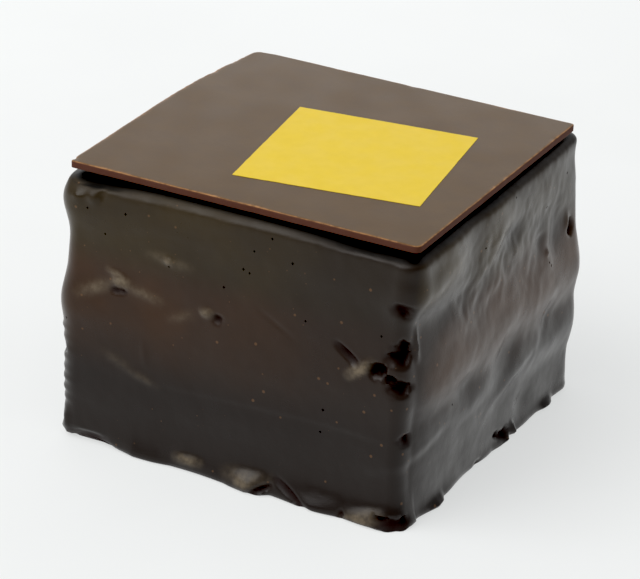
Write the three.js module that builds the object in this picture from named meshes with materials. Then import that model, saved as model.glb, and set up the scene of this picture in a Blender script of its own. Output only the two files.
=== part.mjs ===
// A single-portion chocolate cake: a block enrobed in dark chocolate, a thin square
// chocolate plaque laid on top, and a yellow square of coloured cocoa butter on the plaque.
// Millimetres, +Z up. The wide front face looks along -Y and the right-hand face along +X.
import * as THREE from "three";

// ---- Driving dimensions -------------------------------------------------------------------

// The enrobed block, measured at its walls.
const CAKE = {
  width: 61.4, // X
  depth: 60.2, // Y
  height: 46,
  backShift: 0.7, // how far the block's middle sits behind the plaque's
  cornerRadius: 3.2, // upright edges, seen from above
  topRadius: 2.8, // rolled edge round the top
  footRadius: 0.9, // rolled edge round the foot
  standInset: 1.6, // the flat underside stops this far inside the wall
};

// The thin plaque that rests on the block.
const PLAQUE = {
  width: 60, // X
  depth: 56, // Y
  thickness: 1.2,
  edgeBevel: 0.15, // worn rim, top and bottom
  frontCornerRadius: 1.1,
  smallCornerCut: 0.5, // the two other sharp corners are barely broken
  backLeftInset: 2.5, // the left edge bows in this far by the back corner
  bowStart: 0.55, // share of the depth at which the left edge starts to bow
};

// The yellow square on the plaque.
const PRINT = {
  side: 29.8,
  thickness: 0.1,
  turn: THREE.MathUtils.degToRad(8),
  centreX: 6.6,
  centreY: -2.35,
};

// How the coating follows the layers beneath it: soft rolls that run right round the block.
const ROLLS = [
  { height: 40.5, reach: 3.2, swell: 0.7, waver: 0.7 },
  { height: 22.5, reach: 4.2, swell: 0.95, waver: 1.2 },
  { height: 10.5, reach: 3, swell: 0.5, waver: 0.8 },
];

// The rim of coating that settled round the foot.
const FOOT = { swell: 0.9, reach: 2.4, scallops: 7, scallopSwell: 0.4 };

// One stretch of the front's lower edge stays clear of the ground. A place is counted along
// its side from the side's middle, counterclockwise seen from above.
const LIFT = { place: -24, reach: 3.4, height: 1 };

// One fat fold of coating at the foot of the right-hand face.
const FOLD = { place: -19.5, reach: 5, height: 1, heightReach: 3, swell: 2.1 };

// Diagonal rumples in the coating, strongest on the right-hand face.
const RUMPLES = { pitch: 11, slope: 0.85, depth: 0.28, plainShare: 0.3 };

// The coating's lower edge hangs this far above the underside.
const UNDERCUT = 0.05;

// Mesh resolution.
const SIDE_COLUMNS = 19;
const CORNER_COLUMNS = 5;
const FOOT_ROWS = 3;
const WALL_ROWS = 22;
const SHOULDER_ROWS = 6;
const ARC_SEGMENTS = 6;

const QUARTER_TURN = Math.PI / 2;
const SIDES = 4;
const FRONT = 0;
const RIGHT = 1;

// ---- Enrobed block ------------------------------------------------------------------------

// A column is one place on the way round the block: its side, how far along the side's
// straight stretch it lies, from -1 to 1, and the way it faces. The columns of a corner's
// arc belong to the side before it. Sides follow each other counterclockwise from the front
// left corner, and share is how far round the block a column is.
function planColumns() {
  const columns = [];
  for (let side = 0; side < SIDES; side++) {
    const facing = (side - 1) * QUARTER_TURN;
    for (let i = 0; i < SIDE_COLUMNS; i++) {
      const along = (2 * i) / (SIDE_COLUMNS - 1) - 1;
      columns.push({ side, along, facing });
    }
    for (let i = 1; i <= CORNER_COLUMNS; i++) {
      const turn = (i / (CORNER_COLUMNS + 1)) * QUARTER_TURN;
      columns.push({ side, along: 1, facing: facing + turn });
    }
  }
  return columns.map((column, i) => ({ ...column, share: i / columns.length }));
}

// The place of a column on the block's outline, drawn in from the wall by inset.
function planPoint(column, inset) {
  const radius = CAKE.cornerRadius - inset;
  const halfX = CAKE.width / 2 - CAKE.cornerRadius;
  const halfY = CAKE.depth / 2 - CAKE.cornerRadius;
  const middle = (column.side - 1) * QUARTER_TURN;
  const outward = new THREE.Vector2(Math.cos(middle), Math.sin(middle));
  const onward = new THREE.Vector2(-outward.y, outward.x);
  const x = (outward.x + onward.x * column.along) * halfX;
  const y = (outward.y + onward.y * column.along) * halfY;
  return new THREE.Vector2(
    x + radius * Math.cos(column.facing),
    y + radius * Math.sin(column.facing),
  );
}

const bump = (distance, reach) => Math.exp(-((distance / reach) ** 2));

// How near a column is to a feature of one side, from 1 at its place down to 0.
function nearness(column, side, feature) {
  if (column.side !== side) return 0;
  const length = side % 2 === 0 ? CAKE.width : CAKE.depth;
  const place = column.along * (length / 2 - CAKE.cornerRadius);
  return bump(place - feature.place, feature.reach);
}

// How far the coating stands out from the plain wall at a column and a height.
function relief(column, point, height) {
  const round = 2 * Math.PI * column.share;
  let out = 0;
  ROLLS.forEach((roll, i) => {
    const middle = roll.height + roll.waver * Math.sin(3 * round + 2 * i);
    const strength = 0.75 + 0.25 * Math.sin(5 * round + i);
    out += roll.swell * strength * bump(height - middle, roll.reach);
  });
  const scallop = FOOT.scallopSwell * Math.sin(FOOT.scallops * round);
  out += (FOOT.swell + scallop) * bump(height, FOOT.reach);
  const onFold = nearness(column, RIGHT, FOLD);
  out += FOLD.swell * onFold * bump(height - FOLD.height, FOLD.heightReach);
  const across = RUMPLES.slope * (point.x + point.y) - height;
  const towardsRight = Math.max(0, Math.cos(column.facing));
  const share = RUMPLES.plainShare + (1 - RUMPLES.plainShare) * towardsRight;
  out += RUMPLES.depth * share * Math.sin((2 * Math.PI * across) / RUMPLES.pitch);
  return out;
}

// The block's section from underside to top: how far each row is drawn in from the wall,
// how high it is, and how much of the relief it takes.
function sectionRows() {
  const rows = [{ inset: CAKE.standInset, height: 0, share: 0 }];
  for (let i = 0; i < FOOT_ROWS; i++) {
    const turn = (i / FOOT_ROWS) * QUARTER_TURN;
    const inset = CAKE.footRadius * (1 - Math.sin(turn));
    const height = CAKE.footRadius * (1 - Math.cos(turn));
    rows.push({ inset, height: height + UNDERCUT, share: 0.5 + 0.5 * Math.sin(turn) });
  }
  const wallBottom = CAKE.footRadius + UNDERCUT;
  const wallTop = CAKE.height - CAKE.topRadius;
  for (let i = 0; i <= WALL_ROWS; i++) {
    const height = THREE.MathUtils.lerp(wallBottom, wallTop, i / WALL_ROWS);
    rows.push({ inset: 0, height, share: 1 });
  }
  for (let i = 1; i <= SHOULDER_ROWS; i++) {
    const turn = (i / SHOULDER_ROWS) * QUARTER_TURN;
    const inset = CAKE.topRadius * (1 - Math.cos(turn));
    const height = wallTop + CAKE.topRadius * Math.sin(turn);
    rows.push({ inset, height, share: Math.cos(turn) });
  }
  return rows;
}

function enrobedBlock() {
  const columns = planColumns();
  const rows = sectionRows();
  const positions = [];
  rows.forEach((row) => {
    columns.forEach((column) => {
      const point = planPoint(column, row.inset);
      const out = row.share * relief(column, point, row.height);
      const raised = LIFT.height * nearness(column, FRONT, LIFT);
      const lift = raised * row.share * bump(row.height, FOOT.reach);
      positions.push(
        point.x + out * Math.cos(column.facing),
        point.y + out * Math.sin(column.facing) + CAKE.backShift,
        row.height + lift,
      );
    });
  });
  const underside = positions.length / 3;
  positions.push(0, CAKE.backShift, 0);
  const top = positions.length / 3;
  positions.push(0, CAKE.backShift, CAKE.height);

  const count = columns.length;
  const faces = [];
  for (let k = 0; k < count; k++) {
    const next = (k + 1) % count;
    for (let j = 0; j + 1 < rows.length; j++) {
      const lower = j * count;
      const upper = lower + count;
      faces.push(lower + k, lower + next, upper + next);
      faces.push(lower + k, upper + next, upper + k);
    }
    const lastRow = (rows.length - 1) * count;
    faces.push(underside, next, k);
    faces.push(top, lastRow + k, lastRow + next);
  }
  const geometry = new THREE.BufferGeometry();
  geometry.setAttribute("position", new THREE.Float32BufferAttribute(positions, 3));
  geometry.setIndex(faces);
  geometry.computeVertexNormals();
  return geometry;
}

// ---- Plaque and print ---------------------------------------------------------------------

// Counterclockwise from the front left corner. The left edge bows in towards the back.
function plaqueOutline() {
  const halfX = PLAQUE.width / 2;
  const halfY = PLAQUE.depth / 2;
  const cut = PLAQUE.smallCornerCut;
  const round = PLAQUE.frontCornerRadius;
  const backLeft = -halfX + PLAQUE.backLeftInset;
  const bowY = PLAQUE.depth * PLAQUE.bowStart - halfY;
  const outline = new THREE.Shape();
  outline.moveTo(-halfX + cut, -halfY);
  outline.lineTo(halfX - round, -halfY);
  outline.quadraticCurveTo(halfX, -halfY, halfX, -halfY + round);
  outline.lineTo(halfX, halfY - cut);
  outline.lineTo(halfX - cut, halfY);
  outline.lineTo(backLeft + 2 * cut, halfY);
  outline.quadraticCurveTo(backLeft, halfY, backLeft - cut / 2, halfY - 2 * cut);
  outline.quadraticCurveTo(-halfX, (halfY + bowY) / 2, -halfX, bowY);
  outline.lineTo(-halfX, -halfY + cut);
  outline.closePath();
  return outline;
}

function plaqueSlab() {
  const bevel = PLAQUE.edgeBevel;
  const slab = new THREE.ExtrudeGeometry(plaqueOutline(), {
    depth: PLAQUE.thickness - 2 * bevel,
    bevelEnabled: true,
    bevelThickness: bevel,
    bevelSize: bevel,
    bevelOffset: -bevel,
    bevelSegments: 1,
    curveSegments: ARC_SEGMENTS,
  });
  return slab.translate(0, 0, bevel);
}

function printSquare() {
  return new THREE.BoxGeometry(PRINT.side, PRINT.side, PRINT.thickness)
    .rotateZ(PRINT.turn)
    .translate(PRINT.centreX, PRINT.centreY, PRINT.thickness / 2);
}

// ---- Assembly -----------------------------------------------------------------------------

function piece(name, geometry, bottom, color, roughness) {
  const material = new THREE.MeshStandardMaterial({ color, roughness, metalness: 0 });
  const mesh = new THREE.Mesh(geometry, material);
  mesh.name = name;
  mesh.position.z = bottom;
  return mesh;
}

const cake = new THREE.Group();
cake.add(piece("cake_body", enrobedBlock(), 0, 0x33261f, 0.42));
cake.add(piece("chocolate_plaque", plaqueSlab(), CAKE.height, 0x4a3128, 0.35));
const printBottom = CAKE.height + PLAQUE.thickness;
cake.add(piece("yellow_square", printSquare(), printBottom, 0xeccf4c, 0.45));

// The origin is the middle, on the ground, of the box that the whole cake fills.
const middle = new THREE.Box3().setFromObject(cake, true).getCenter(new THREE.Vector3());
cake.position.set(-middle.x, -middle.y, 0);

export default cake;
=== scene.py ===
"""A single-portion chocolate cake, dressed and lit for a studio picture.

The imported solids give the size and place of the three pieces: the enrobed block, the thin
plaque on it and the yellow square on the plaque. Each piece is modelled here again with the
relief, broken edges and finish that the real one shows. Blender's own lengths are in metres.
The sizes and places written down here are in millimetres, counted from the middle of the
plaque and from the ground, so that one set of numbers fits every piece.
"""

import logging
import math
import random
from abc import ABC, abstractmethod
from collections.abc import Callable, Iterable
from dataclasses import dataclass, field
from enum import Enum, IntEnum

import bmesh
import bpy
import numpy as np
from mathutils import Matrix, Vector, noise


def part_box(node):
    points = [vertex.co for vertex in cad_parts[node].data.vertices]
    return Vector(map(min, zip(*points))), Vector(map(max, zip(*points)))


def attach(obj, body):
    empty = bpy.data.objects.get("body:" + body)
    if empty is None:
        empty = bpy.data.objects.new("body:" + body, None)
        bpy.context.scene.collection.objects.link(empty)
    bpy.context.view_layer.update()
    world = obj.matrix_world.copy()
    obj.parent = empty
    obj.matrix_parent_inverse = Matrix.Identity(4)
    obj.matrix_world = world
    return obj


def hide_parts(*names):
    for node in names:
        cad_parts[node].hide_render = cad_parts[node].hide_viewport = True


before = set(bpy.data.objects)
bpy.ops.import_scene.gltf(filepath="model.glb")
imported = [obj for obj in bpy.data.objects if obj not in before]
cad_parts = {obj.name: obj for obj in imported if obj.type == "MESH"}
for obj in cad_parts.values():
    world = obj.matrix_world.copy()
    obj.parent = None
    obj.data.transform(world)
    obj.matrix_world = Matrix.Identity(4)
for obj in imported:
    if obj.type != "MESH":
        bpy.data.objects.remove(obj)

LOG = logging.getLogger("chocolate_cake")
MM = 0.001
QUARTER_TURN = math.pi / 2
NEARLY_WHOLE = 0.9  # the share of a full length, or of an upright normal, that counts as whole
NEARLY_STRAIGHT = 0.999  # the share of an edge's length that lies along an axis
NEARLY_LEVEL = MM * 0.01  # how far from a height a point may be and count as on it
NEGLIGIBLE = 1e-6
BODY = "root"

Array = np.ndarray
Pair = tuple[float, float]
Colour = tuple[float, float, float]
EdgeTest = Callable[[bmesh.types.BMEdge], bool]
FaceTest = Callable[[bmesh.types.BMFace], bool]


# ---- Places ---------------------------------------------------------------------------------


class Axis(IntEnum):
    """The three axes, as a vector counts them."""

    X = 0
    Y = 1
    Z = 2


class Side(Enum):
    """The four walls of the block, in the order in which the unrolled wall meets them."""

    FRONT = 0
    RIGHT = 1
    BACK = 2
    LEFT = 3


Spot = tuple[Side, float, float]


@dataclass(frozen=True)
class Layout:
    """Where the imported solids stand, in metres, which is where every new piece goes."""

    plaque_low: Vector
    plaque_high: Vector
    block_low: Vector
    square_high: Vector

    @classmethod
    def from_frame(cls) -> "Layout":
        """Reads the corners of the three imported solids."""
        block_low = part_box("cake_body")[0]
        plaque_low, plaque_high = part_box("chocolate_plaque")
        square_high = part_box("yellow_square")[1]
        return cls(plaque_low, plaque_high, block_low, square_high)

    @property
    def middle(self) -> Vector:
        """The middle of the plaque, on the ground."""
        centre = (self.plaque_low + self.plaque_high) / 2
        return Vector((centre.x, centre.y, self.block_low.z))

    @property
    def seat(self) -> float:
        """The height of the block's flat top, where the plaque rests."""
        return self.plaque_low.z

    @property
    def top(self) -> float:
        """The height of the plaque's upper face."""
        return self.plaque_high.z


# ---- Modelling by hand ----------------------------------------------------------------------


def deselect_all() -> None:
    """Leaves nothing selected, in object mode."""
    if bpy.context.object and bpy.context.object.mode != "OBJECT":
        bpy.ops.object.mode_set(mode="OBJECT")
    bpy.ops.object.select_all(action="DESELECT")


def activate(piece: bpy.types.Object) -> None:
    """Selects one piece alone and makes it the active one."""
    deselect_all()
    piece.select_set(True)
    bpy.context.view_layer.objects.active = piece


def smooth(piece: bpy.types.Object, degrees: float) -> None:
    """Shades a piece smoothly over every edge that bends less than an angle."""
    activate(piece)
    bpy.ops.object.shade_smooth_by_angle(angle=math.radians(degrees))


class Bench:
    """Edit mode on one piece, with selections made in code by place or direction."""

    def __init__(self, piece: bpy.types.Object) -> None:
        """Keeps the piece that is worked on."""
        self.piece = piece

    def __enter__(self) -> "Bench":
        """Opens edit mode."""
        activate(self.piece)
        bpy.ops.object.mode_set(mode="EDIT")
        return self

    def __exit__(self, *problem: object) -> None:
        """Closes edit mode."""
        bpy.ops.object.mode_set(mode="OBJECT")

    def _select(self, kind: str, test: Callable[[object], bool]) -> None:
        """Selects the elements of one kind that pass a test, and nothing else.

        Args:
            kind: VERT, EDGE or FACE.
            test: says whether an element belongs to the selection.
        """
        bpy.ops.mesh.select_mode(type=kind)
        bpy.ops.mesh.select_all(action="DESELECT")
        mesh = bmesh.from_edit_mesh(self.piece.data)
        elements = {"VERT": mesh.verts, "EDGE": mesh.edges, "FACE": mesh.faces}[kind]
        for element in [element for element in elements if test(element)]:
            element.select_set(True)
        mesh.select_flush_mode()
        bmesh.update_edit_mesh(self.piece.data)

    def select_faces(self, test: FaceTest) -> None:
        """Selects faces by a test."""
        self._select("FACE", test)

    def select_vertices(self, indices: set[int]) -> None:
        """Selects vertices by index."""
        self._select("VERT", lambda vertex: vertex.index in indices)

    def merge_faces(self, test: FaceTest) -> None:
        """Makes one face of the faces that pass a test."""
        self.select_faces(test)
        bpy.ops.mesh.dissolve_faces()

    def bevel(self, test: EdgeTest, width: float, segments: int) -> None:
        """Rounds the edges that pass a test.

        Args:
            test: says whether an edge is rounded.
            width: how far the rounding reaches on both sides of the edge, in millimetres.
            segments: how many strips of faces it gets.
        """
        self._select("EDGE", test)
        bpy.ops.mesh.bevel(
            offset=width * MM, segments=segments, affect="EDGES", clamp_overlap=False
        )

    def cut(self, axis: Axis, length: float, parts: Iterable[int]) -> None:
        """Cuts every long edge along one axis into equal parts, a few at a time.

        Args:
            axis: the way that the edges run.
            length: how long the edges are, in metres.
            parts: how many parts each pass makes of each edge.
        """
        for count in parts:
            self._select("EDGE", lambda edge: runs_along(edge, axis, NEARLY_WHOLE * length))
            bpy.ops.mesh.subdivide(number_cuts=count - 1)
            length /= count


def runs_along(edge: bmesh.types.BMEdge, axis: Axis, shortest: float) -> bool:
    """Says whether an edge lies along one axis.

    Args:
        edge: the edge.
        axis: the axis.
        shortest: the least length that counts, in metres.

    Returns:
        True if the edge is at least that long and straight along the axis.
    """
    step = edge.verts[1].co - edge.verts[0].co
    return abs(step[axis]) >= shortest and abs(step[axis]) > NEARLY_STRAIGHT * step.length


def faces_down(face: bmesh.types.BMFace) -> bool:
    """Says whether a face looks straight down."""
    return face.normal.z < -NEARLY_WHOLE


def vertex_rows(piece: bpy.types.Object, what: str) -> Array:
    """Reads a piece's vertices, with one row of three numbers each.

    Args:
        piece: the mesh object.
        what: "co" for the places in metres, "normal" for the normals.

    Returns:
        The rows.
    """
    flat = np.empty(len(piece.data.vertices) * 3)
    piece.data.vertices.foreach_get(what, flat)
    return flat.reshape(-1, 3)


def read_places(piece: bpy.types.Object, middle: Array) -> Array:
    """Reads a piece's vertices in millimetres from a place that is given in metres."""
    return (vertex_rows(piece, "co") - middle) / MM


def move_points(piece: bpy.types.Object, places: Array, middle: Array) -> None:
    """Moves a piece's vertices to new places, in millimetres from a place in metres."""
    piece.data.vertices.foreach_set("co", (places * MM + middle).ravel())
    piece.data.update()


def paint(piece: bpy.types.Object, name: str, values: Array) -> None:
    """Writes one number for each vertex, which the piece's material reads by name.

    Args:
        piece: the mesh object.
        name: the attribute's name.
        values: one number for each vertex, from 0 to 1.
    """
    layer = piece.data.attributes.new(name, "FLOAT", "POINT")
    layer.data.foreach_set("value", np.clip(values, 0, 1).astype(np.float32))


def bell(distance: Array | float, reach: float) -> Array:
    """A smooth hill of height 1 that has fallen to about a third at its reach."""
    return np.exp(-((distance / reach) ** 2))


def smooth_step(value: Array) -> Array:
    """Rises smoothly from 0 at 0 to 1 at 1."""
    share = np.clip(value, 0, 1)
    return share * share * (3 - 2 * share)


def rough_field(places: Array) -> Array:
    """Smooth unevenness, from about -1 to 1, at each of many places.

    Args:
        places: one row of three coordinates for each place, one unit to a wave.

    Returns:
        One number for each place.
    """
    return np.fromiter((noise.noise(Vector(row)) for row in places), float, len(places))


@dataclass(frozen=True)
class Ripple:
    """Unevenness without a direction: its rise, the size of its waves, and a seed."""

    rise: float
    size: float
    seed: float = 0.0

    def at(self, places: Array) -> Array:
        """How much of it each place has."""
        return self.rise * rough_field(places / self.size + self.seed)


def new_block(name: str, centre: Vector, size: Vector) -> bpy.types.Object:
    """Adds a box at its size and place, with its place kept in its mesh.

    Args:
        name: the new piece's name.
        centre: the middle of the box, in metres.
        size: its three lengths, in metres.

    Returns:
        The new object, at the origin, unturned and unscaled.
    """
    deselect_all()
    bpy.ops.mesh.primitive_cube_add(size=1, location=centre, scale=size)
    piece = bpy.context.object
    piece.name = piece.data.name = name
    bpy.ops.object.transform_apply(location=True, rotation=True, scale=True)
    return piece


# ---- The unrolled wall ----------------------------------------------------------------------


@dataclass(frozen=True)
class Wall:
    """The block's walls unrolled: distance round the block, and height."""

    width: float
    depth: float
    radius: float
    back_shift: float

    @property
    def half_x(self) -> float:
        """Half the straight stretch of the front."""
        return self.width / 2 - self.radius

    @property
    def half_y(self) -> float:
        """Half the straight stretch of the right-hand side."""
        return self.depth / 2 - self.radius

    @property
    def corner(self) -> float:
        """The length of one rounded corner."""
        return self.radius * QUARTER_TURN

    @property
    def length(self) -> float:
        """The whole way round."""
        return 4 * (self.half_x + self.half_y + self.corner)

    def around(self, x: Array, y: Array) -> Array:
        """How far round the block points near its outline are.

        Args:
            x: places across, from the middle of the plaque.
            y: places in depth, likewise.

        Returns:
            Distances from the start of the front's straight stretch, counterclockwise.
        """
        y = y - self.back_shift
        near_x = np.clip(x, -self.half_x, self.half_x)
        near_y = np.clip(y, -self.half_y, self.half_y)
        facing = np.arctan2(y - near_y, x - near_x) + QUARTER_TURN
        facing = np.where(facing < -NEGLIGIBLE, facing + 2 * math.pi, np.maximum(facing, 0))
        sector = np.ceil(np.round(facing / QUARTER_TURN, 4)).astype(int)
        straights = np.stack([
            near_x + self.half_x,
            2 * self.half_x + near_y + self.half_y,
            2 * (self.half_x + self.half_y) + self.half_x - near_x,
            4 * self.half_x + 2 * self.half_y + self.half_y - near_y,
            np.full_like(x, 4 * (self.half_x + self.half_y)),
        ])
        return straights[sector, np.arange(len(x))] + facing * self.radius

    def place(self, side: Side, along: float) -> float:
        """The distance round the block of one place on one side.

        Args:
            side: the side.
            along: X on the front and back, Y on the two others.

        Returns:
            The distance.
        """
        starts = {
            Side.FRONT: self.half_x + along,
            Side.RIGHT: 2 * self.half_x + self.half_y + along - self.back_shift,
            Side.BACK: 3 * self.half_x + 2 * self.half_y - along,
            Side.LEFT: 4 * self.half_x + 3 * self.half_y - along + self.back_shift,
        }
        return starts[side] + side.value * self.corner


@dataclass(frozen=True)
class Skin:
    """The block's points, with how far round the unrolled wall each one lies."""

    wall: Wall
    places: Array
    around: Array

    @classmethod
    def read(cls, piece: bpy.types.Object, wall: Wall, middle: Vector) -> "Skin":
        """Reads the points as they are now.

        Args:
            piece: the block.
            wall: its unrolled wall.
            middle: the middle of the plaque on the ground, in metres.

        Returns:
            The points.
        """
        places = read_places(piece, np.array(middle))
        return cls(wall, places, wall.around(places[:, 0], places[:, 1]))

    @property
    def height(self) -> Array:
        """How high each point lies."""
        return self.places[:, 2]

    @property
    def turn(self) -> Array:
        """How far round the block each point lies, as an angle."""
        return 2 * math.pi * self.around / self.wall.length

    @property
    def inset(self) -> Array:
        """How far inside the plain walls each point lies."""
        return np.minimum(
            self.wall.width / 2 - np.abs(self.places[:, 0]),
            self.wall.depth / 2 - np.abs(self.places[:, 1] - self.wall.back_shift),
        )

    def across(self, side: Side, along: float) -> Array:
        """Signed distances of the points from one place on one side, the short way round."""
        half = self.wall.length / 2
        return (self.around - self.wall.place(side, along) + half) % self.wall.length - half


class Feature(ABC):
    """Something that stands out from the plain walls or lies in them."""

    @abstractmethod
    def lift(self, skin: Skin) -> Array:
        """How far the feature moves each point outwards."""


class Patch(Feature):
    """A feature that moves each point by its rise times the point's share in it."""

    rise: float

    @property
    def deep(self) -> bool:
        """Says whether the patch is so deep and narrow that it looks like a dark hole, which gets
        painted shade.
        """
        return False

    @abstractmethod
    def share(self, skin: Skin) -> Array:
        """How strongly each point belongs to the patch, from 0 to 1."""

    def lift(self, skin: Skin) -> Array:
        """How far the patch moves each point outwards."""
        return self.rise * self.share(skin)


@dataclass(frozen=True)
class Swell(Patch):
    """A rounded rise of the coating, or a hollow where rise is negative."""

    side: Side
    along: float
    height: float
    reach_along: float
    reach_up: float
    rise: float
    steepness: float = 2.0

    def share(self, skin: Skin) -> Array:
        """How strongly each point belongs to the swell, from 0 to 1."""
        across = skin.across(self.side, self.along) / self.reach_along
        up = (skin.height - self.height) / self.reach_up
        return np.exp(-(np.hypot(across, up) ** self.steepness))


@dataclass(frozen=True)
class Streak(Patch):
    """A raised or sunken streak between two places on one side, thin at both ends."""

    side: Side
    start: Pair
    end: Pair
    width: float
    rise: float
    steepness: float = 2.0
    end_share: float = 0.35

    @property
    def deep(self) -> bool:
        """Says whether the streak is a cut at least as deep as it is wide, which gets painted shade.
        """
        return self.rise <= -self.width

    def share(self, skin: Skin) -> Array:
        """How strongly each point belongs to the streak, from 0 to 1."""
        begin, finish = (
            np.array([skin.wall.place(self.side, along), height])
            for along, height in (self.start, self.end)
        )
        way = finish - begin
        from_x = skin.across(self.side, self.start[0])
        from_y = skin.height - begin[1]
        nearest = np.clip((from_x * way[0] + from_y * way[1]) / (way @ way), 0, 1)
        distance = np.hypot(from_x - nearest * way[0], from_y - nearest * way[1])
        slimness = self.end_share + (1 - self.end_share) * np.sin(math.pi * nearest)
        return slimness * np.exp(-((distance / self.width) ** self.steepness))


@dataclass(frozen=True)
class Hollow(Patch):
    """A steep-walled hole in the coating, its outline made of a few overlapping ovals."""

    side: Side
    depth: float
    ovals: tuple[tuple[float, float, float, float], ...]
    steepness: float = 4.0
    ragged: float = 0.35
    ragged_reach: float = 2.2
    raggedness: float = 1.3

    @property
    def rise(self) -> float:
        """How far the hole moves its middle outwards: always inwards."""
        return -self.depth

    @property
    def deep(self) -> bool:
        """Says that the hole looks dark, which it gets from painted shade."""
        return True

    def share(self, skin: Skin) -> Array:
        """How strongly each point belongs to the hole, from 0 to 1."""
        share = np.zeros_like(skin.around)
        for along, middle, reach_along, reach_up in self.ovals:
            across = skin.across(self.side, along) / reach_along
            up = (skin.height - middle) / reach_up
            away = np.hypot(across, up)
            near = away < self.ragged_reach
            places = np.stack([across[near], up[near], np.full(near.sum(), along)], 1)
            away[near] *= 1 + self.ragged * rough_field(places * self.raggedness)
            share = np.maximum(share, np.exp(-(away ** self.steepness)))
        return share


@dataclass(frozen=True)
class CornerEase(Feature):
    """The slow curve that takes the right-hand side in towards the front corner."""

    reach: float
    depth: float
    height: float
    reach_up: float
    steepness: float = 4.0

    def lift(self, skin: Skin) -> Array:
        """How far the curve moves each point outwards: always inwards."""
        wall = skin.wall
        beyond = skin.across(Side.RIGHT, wall.back_shift - wall.half_y)
        share = np.clip(1 + beyond / wall.corner, 0, 1)
        steepest = wall.corner / self.reach
        before = smooth_step(share) + steepest * share * share * (1 - share)
        curve = np.where(beyond > 0, np.exp(-np.abs(beyond) / self.reach), before)
        up = (skin.height - self.height) / self.reach_up
        return -self.depth * curve * np.exp(-(up ** self.steepness))


@dataclass(frozen=True)
class HighlightedScuff(Feature):
    """A raised smear, duller than the rest, with a painted highlight that makes it paler."""

    shape: Swell | Streak
    highlight_strength: float

    def share(self, skin: Skin) -> Array:
        """How much painted highlight each point gets, from 0 to 1."""
        return self.highlight_strength * self.shape.share(skin)

    def lift(self, skin: Skin) -> Array:
        """How far the smear moves each point outwards."""
        return self.shape.lift(skin)


class Stand(Enum):
    """On which side of its line a ledge stands out."""

    ABOVE = -1
    BELOW = 1


@dataclass(frozen=True)
class Ledge(Feature):
    """A line on one side of which the coating stands out, dying away from the line."""

    side: Side
    start: Pair
    end: Pair
    rise: float
    reach: float
    stand: Stand = Stand.BELOW
    lip: float = 0.9
    waver: float = 0.5
    waves: float = 7
    wave_start: float = 3
    fade: float = 0.45

    def lift(self, skin: Skin) -> Array:
        """How far the ledge moves each point outwards."""
        place = skin.wall.place
        span = place(self.side, self.end[0]) - place(self.side, self.start[0])
        along = skin.across(self.side, self.start[0]) / span
        line = self.start[1] + (self.end[1] - self.start[1]) * along
        line = line + self.waver * np.sin(self.waves * along + self.wave_start * self.start[0])
        beyond = self.stand.value * (line - skin.height)
        ends = smooth_step(along / self.fade) * smooth_step((1 - along) / self.fade)
        dying = bell(np.maximum(beyond - self.lip / 2, 0), self.reach)
        return self.rise * ends * smooth_step(beyond / self.lip + 0.5) * dying


@dataclass(frozen=True)
class FootLine(Feature):
    """How far the coating has run out over the ground along one side."""

    side: Side
    stops: tuple[Pair, ...]
    thickness: float = 1.7

    def lift(self, skin: Skin) -> Array:
        """How far the foot moves each point outwards."""
        place = skin.wall.place
        middle = place(self.side, 0)
        stops = sorted((place(self.side, along) - middle, out) for along, out in self.stops)
        places, outs = zip(*stops)
        run = np.interp(skin.across(self.side, 0), places, outs, left=0, right=0)
        return run * bell(skin.height, self.thickness)


@dataclass(frozen=True)
class Rumple(Feature):
    """A patch of slanting wrinkles where the coating ran before it set."""

    side: Side
    along: float
    height: float
    reach_along: float
    reach_up: float
    rise: float
    pitch: float
    length: float
    slant: float
    seed: float
    steepness: float = 4.0
    least_share: float = 0.01
    bend: float = 0.35
    bend_rate: float = 2.3
    finer_scale: tuple[float, float, float] = (1.6, 2.1, 1.0)
    finer_seed: float = 11.0
    finer_rise: float = 0.4

    def lift(self, skin: Skin) -> Array:
        """How far the wrinkles move each point outwards."""
        across = skin.across(self.side, self.along)
        up = skin.height - self.height
        away = np.hypot(across / self.reach_along, up / self.reach_up)
        share = np.exp(-(away ** self.steepness))
        moved = np.zeros_like(across)
        near = share > self.least_share
        cosine, sine = math.cos(self.slant), math.sin(self.slant)
        lengthwise = (across[near] * cosine + up[near] * sine) / self.length
        crosswise = (up[near] * cosine - across[near] * sine) / self.pitch
        bent = crosswise + self.bend * np.sin(self.bend_rate * lengthwise + self.seed)
        places = np.stack([lengthwise, bent, np.full_like(bent, self.seed)], 1)
        waves = rough_field(places)
        finer = rough_field(places * self.finer_scale + self.finer_seed)
        moved[near] = self.rise * share[near] * (waves + self.finer_rise * finer)
        return moved


@dataclass(frozen=True)
class Roll(Feature):
    """A roll that runs right round the block, wavering in height and in strength."""

    height: float
    reach: float
    rise: float
    waves: int
    start: float
    waver: float = 0.8
    even: float = 0.7
    uneven: float = 0.3
    uneven_waves: int = 5

    def lift(self, skin: Skin) -> Array:
        """How far the roll moves each point outwards."""
        middle = self.height + self.waver * np.sin(self.waves * skin.turn + self.start)
        varied = self.uneven * np.sin(self.uneven_waves * skin.turn + self.start)
        return self.rise * (self.even + varied) * bell(skin.height - middle, self.reach)


# ---- The enrobed block ----------------------------------------------------------------------


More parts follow.
